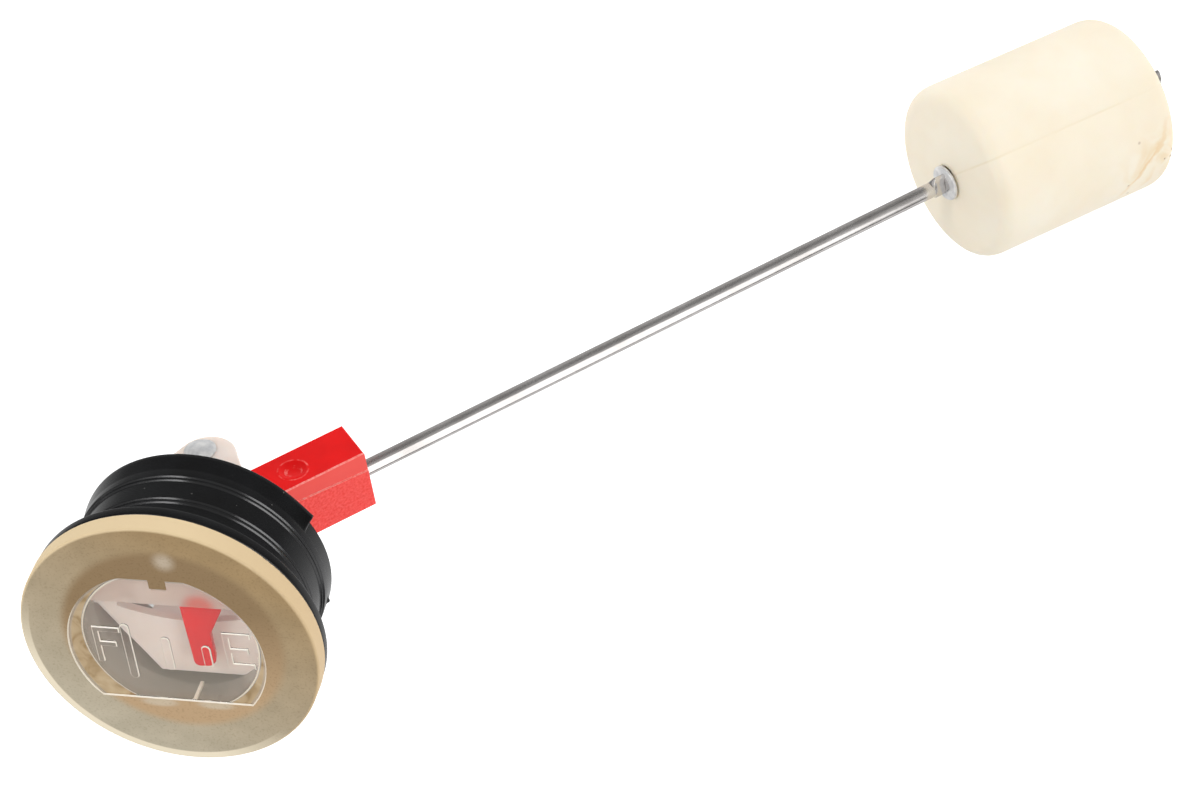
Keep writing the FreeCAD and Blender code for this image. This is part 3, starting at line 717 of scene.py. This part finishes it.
# Float. A blow-moulded cylinder in cream polyethylene with a parting line along it, loose on the wire, so
# that it sits a little askew. Fuel has left orange-brown stains and specks towards its far end.
float_r = 17.5
float_len = 41.4
float_near = 161.3
float_bore = 2.32
float_bore_edge = 0.4
float_edges = (3.4, 3.6)
float_dome = 1.1
float_tilt = math.radians(2.0)
float_lean = np.array([-0.85, 0.53]) / math.hypot(0.85, 0.53)
float_axis = np.array([math.cos(float_tilt), *(math.sin(float_tilt) * float_lean)])
float_columns = 160
edge_rows = 9
face_rows = 8
face_from = 0.96 * float_r - float_edges[0]
face_to = float_bore + 0.5
seam_towards = np.array([0.0, 0.634, 0.773])
seam_half = (0.1, 0.3)
stain_at = (15.5, -5.0, 16.3)
stain_reach = (3.0, 13.0)
tide_towards = (0.77, -0.64, 0.0)
tide_at = 15.5
tide_wander = 7.0
tide_half = (0.1, 0.9)


def float_surface():
    """Outline of length and radius turned about the float's own axis, which leans off the wire by a small
    angle about its middle. Each end swells by a dome that falls off with the square of the radius."""
    half = 0.5 * float_len
    corners = [(-half, float_bore), (-half, float_r), (half, float_r), (half, float_bore)]
    arcs = rounded(corners, [float_bore_edge, *float_edges, float_bore_edge], edge_rows)
    near_bore, near_edge, far_edge, far_bore = arcs.reshape(4, edge_rows, 2)
    face_r = np.linspace(face_from, face_to, face_rows)
    far_face = np.stack([np.full(face_rows, half), face_r], axis=1)
    near_face = np.stack([np.full(face_rows, -half), face_r[::-1]], axis=1)
    outline = np.vstack([near_bore, near_face, near_edge, far_edge, far_face, far_bore])
    swell = float_dome * np.clip(1.0 - (outline[:, 1] / (float_r - float_edges[1])) ** 2, 0.0, 1.0)
    outline[:, 0] += np.sign(outline[:, 0]) * swell
    angle = np.linspace(0.0, 2 * math.pi, float_columns, endpoint=False)[:, None]
    side = np.cross(float_axis, [0.0, 0.0, 1.0])
    side /= np.linalg.norm(side)
    over = np.cross(float_axis, side)
    ring = np.cos(angle)[..., None] * side + np.sin(angle)[..., None] * over
    p = outline[None, :, :1] * float_axis + outline[None, :, 1:] * ring
    return arm_point(float_near + half + p[..., 0], arm_y + p[..., 1], arm_w + p[..., 2])


# Polyethylene, blow moulded: a waxy cream skin that light soaks into a little, a faint raised parting line,
# and rust-coloured fuel stains with pin-head specks.
cream, tree, out, where = new_material("cream_moulded_polyethylene")
middle = arm_point(np.array(float_near + 0.5 * float_len), np.array(arm_y), np.array(arm_w))
own = add(
    tree, "Mapping", measured_from, Vector=where, Location=middle.tolist(), Rotation=(0.0, arm_drop, 0.0),
    Scale=(mm, mm, mm),
)
cloud = add(tree, "TexNoise", None, Vector=own, Scale=1 / 14.0, Detail=3.0)
grain = add(tree, "TexNoise", None, Vector=own, Scale=1 / 0.9, Detail=2.0)
tone = add(tree, "ValToRGB", {"stops": [(0.3, "#F4E8D1"), (0.7, "#F8EFDD")]}, Fac=cloud)

# The parting line lies in the plane of the float's axis, on one side only, and fades in and out.
across_seam = np.cross(float_axis, seam_towards)
off_seam = add(tree, "VectorMath", dot_product, i0=own, i1=across_seam.tolist())
off_seam = add(tree, "Math", absolute, i0=off_seam)
on_side = add(tree, "VectorMath", dot_product, i0=own, i1=seam_towards.tolist())
on_side = add(tree, "Math", greater_than, i0=on_side, i1=0.0)
seam = add(
    tree, "MapRange", None, Value=off_seam, From_Min=seam_half[0], From_Max=seam_half[1],
    To_Min=1.0, To_Max=0.0,
)
seam = add(tree, "Math", multiply, i0=seam, i1=on_side)
faint = add(tree, "MapRange", None, Value=cloud, From_Min=0.3, From_Max=0.7, To_Min=0.0, To_Max=0.55)
line = add(tree, "Math", multiply, i0=seam, i1=faint)
tone = add(tree, "Mix", mix_colour, Factor=line, A=tone.outputs["Color"], B=linear("#E4D3AE"))

# The stains are streaks, one wandering tide line and specks, all near one place.
from_stain = add(tree, "VectorMath", distance, i0=own, i1=stain_at)
near_stain = add(
    tree, "MapRange", smooth, Value=from_stain, From_Min=stain_reach[0], From_Max=stain_reach[1],
    To_Min=1.0, To_Max=0.0,
)
streak = add(tree, "TexNoise", None, Vector=own, Scale=1 / 6.0, Detail=5.0, Distortion=1.0)
streak = add(tree, "MapRange", smooth, Value=streak, From_Min=0.4, From_Max=0.75, To_Max=0.55)
streak = add(tree, "Math", multiply, i0=streak, i1=near_stain)
tone = add(tree, "Mix", mix_colour, Factor=streak, A=tone, B=linear("#E9C88E"))
wander = add(tree, "TexNoise", None, Vector=own, Scale=1 / 5.0, Detail=4.0)
towards_tide = add(tree, "VectorMath", dot_product, i0=own, i1=tide_towards)
towards_tide = add(tree, "Math", {"operation": "MULTIPLY_ADD"}, i0=wander, i1=tide_wander, i2=towards_tide)
from_tide = add(tree, "Math", {"operation": "SUBTRACT"}, i0=towards_tide, i1=tide_at)
from_tide = add(tree, "Math", absolute, i0=from_tide)
tide = add(
    tree, "MapRange", smooth, Value=from_tide, From_Min=tide_half[0], From_Max=tide_half[1],
    To_Min=0.6, To_Max=0.0,
)
tide = add(tree, "Math", multiply, i0=tide, i1=near_stain)
tone = add(tree, "Mix", mix_colour, Factor=tide, A=tone, B=linear("#E9C68E"))
dot = add(tree, "TexVoronoi", None, Vector=own, Scale=1 / 2.6)
dot = add(tree, "MapRange", None, Value=dot, From_Min=0.08, From_Max=0.15, To_Min=1.0, To_Max=0.0)
rust = add(tree, "Math", multiply, i0=dot, i1=near_stain)
tone = add(tree, "Mix", mix_colour, Factor=rust, A=tone, B=linear("#8A5A2A"))
rough = add(tree, "MapRange", None, Value=cloud, To_Min=0.4, To_Max=0.55)
height = add(tree, "Math", {"operation": "MULTIPLY_ADD"}, i0=grain, i1=0.15, i2=seam)
relief = add(tree, "Bump", None, Height=height, Strength=0.3, Distance=0.08 * mm)
skin = add(
    tree, "BsdfPrincipled", None, Base_Color=tone, Roughness=rough, IOR=1.51, Normal=relief,
    Subsurface_Weight=0.4, Subsurface_Radius=(1.0, 0.8, 0.6), Subsurface_Scale=1.5 * mm,
)
tree.links.new(skin.outputs[0], out.inputs["Surface"])
buoy = mesh_from_grid("float_shell", float_surface(), True, True)
buoy.data.materials.append(cream)
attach(buoy, "float_body")
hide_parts("float")

# Studio. A pale paper floor that glows a little, well under the gauge, a soft sky that gives the wire its
# dark lines, five softboxes, and the camera where the photograph was taken from.
floor_gap = 0.08
floor_half = 6.0
floor_rows = 5
across_floor = np.linspace(-floor_half, floor_half, floor_rows)
floor_x, floor_y = np.meshgrid(across_floor, across_floor, indexing="ij")
floor_z = np.full_like(floor_x, cad_low[2] - floor_gap)
floor = mesh_from_grid("studio_floor", np.stack([floor_x, floor_y, floor_z], axis=-1), False, False)

# White paper, lit through: even and matt, with fibres drawn coarser than real.
paper, tree, out, where = new_material("white_studio_paper")
fibre = add(tree, "TexNoise", None, Vector=where, Scale=1 / (2.0 * mm), Detail=2.0)
tone = add(tree, "ValToRGB", {"stops": [(0.3, "#F8F8F8"), (0.7, "#FCFCFC")]}, Fac=fibre)
skin = add(
    tree, "BsdfPrincipled", None, Base_Color=tone.outputs["Color"], Roughness=0.9, Specular_IOR_Level=0.1,
    Emission_Color=linear("#FFFFFF"), Emission_Strength=0.55,
)
tree.links.new(skin.outputs[0], out.inputs["Surface"])
floor.data.materials.append(paper)
# Mirrored and bent rays pass the floor and meet the sky, which lights the window and shades the wire.
floor.visible_glossy = False
floor.visible_transmission = False

# The sky is dimmer on the dial's upper side, which the wire mirrors as its dark band. On the lower side it
# is bright, with a thin dark line above the horizon that the wire mirrors along its lower edge.
world = bpy.data.worlds.new("studio_light")
bpy.context.scene.world = world
world.use_nodes = True
tree = world.node_tree
tree.nodes.clear()
out = add(tree, "OutputWorld")
look = add(tree, "SeparateXYZ", None, Vector=add(tree, "TexCoord").outputs["Generated"]).outputs
rise = add(tree, "MapRange", None, Value=look["Z"], From_Min=-1.0)
dim_stops = [(0.0, "#A4A4A4"), (0.1, "#A0A0A0"), (0.17, "#7C7C7C"), (0.28, "#5E5E5E")]
dim_stops += [(0.37, "#484848"), (0.44, "#707070"), (0.54, "#9E9E9E"), (0.66, "#C4C4C4")]
dim_side = add(tree, "ValToRGB", {"stops": dim_stops}, Fac=rise).outputs["Color"]
bright_stops = [(0.0, "#D8D8D8"), (0.4, "#DCDCDC"), (0.545, "#F0F0F0")]
bright_stops += [(0.555, "#1E1E1E"), (0.605, "#1E1E1E"), (0.615, "#C0C0C0")]
bright_side = add(tree, "ValToRGB", {"stops": bright_stops}, Fac=rise).outputs["Color"]
upward = add(tree, "MapRange", None, Value=look["Y"], From_Min=-0.5, From_Max=0.12)
sky = add(tree, "Mix", mix_colour, Factor=upward, A=bright_side, B=dim_side)
sky_light = add(tree, "Background", None, Color=sky, Strength=1.0)
tree.links.new(sky_light.outputs[0], out.inputs["Surface"])


def softbox(name, at, towards, size, watts):
    """Rectangular area light at a point in metres, turned to face another point."""
    data = bpy.data.lights.new(name, "AREA")
    data.shape = "RECTANGLE"
    data.size, data.size_y = size
    data.energy = watts
    lamp = bpy.data.objects.new(name, data)
    lamp.location = at
    aim = np.array(towards, float) - np.array(at, float)
    lamp.rotation_euler = Vector(aim).to_track_quat("-Z", "Y").to_euler()
    bpy.context.scene.collection.objects.link(lamp)
    return lamp


# The left and right boxes draw the bright lines on the rubber's steps, the side box lights the arm block's
# side, and the low box the float's underside. Nothing mirrors the low box, so the wire keeps its thin line.
softbox("left_box", (-0.62, 0.67, 0.78), (0.0, 0.0, -0.01), (0.78, 0.22), 3.7)
softbox("right_box", (0.79, 0.42, 0.81), (0.0, 0.0, -0.01), (0.75, 0.2), 3.0)
softbox("side_box", (1.0, 0.0, 0.34), (0.05, 0.0, -0.05), (1.8, 0.36), 2.8)
softbox("fill_box", (-0.9, -0.25, 0.55), (0.1, 0.0, -0.1), (0.9, 0.6), 2.6)
low_box = softbox("low_box", (0.6, -1.1, -0.12), (0.1, 0.0, -0.15), (0.8, 0.3), 1.8)
low_box.visible_glossy = False

camera_at = (0.2277, 0.4553, 0.4725)
camera_right = (0.9710, -0.1057, -0.2142)
camera_down = (0.0558, -0.7715, 0.6337)
camera_data = bpy.data.cameras.new("photo_view")
camera_data.sensor_fit = "HORIZONTAL"
camera_data.sensor_width = 36.0
camera_data.lens = 121.2
camera_data.clip_start = 0.01
camera_data.clip_end = 50.0
camera = bpy.data.objects.new("photo_view", camera_data)
right = np.array(camera_right) / np.linalg.norm(camera_right)
up = -np.array(camera_down)
up -= right * (up @ right)
up /= np.linalg.norm(up)
back = np.cross(right, up)
placed = np.eye(4)
placed[:3, :3] = np.stack([right, up, back], axis=1)
placed[:3, 3] = camera_at
camera.matrix_world = Matrix(placed.tolist())
bpy.context.scene.collection.objects.link(camera)
bpy.context.scene.camera = camera
bpy.context.scene.view_settings.view_transform = "Standard"
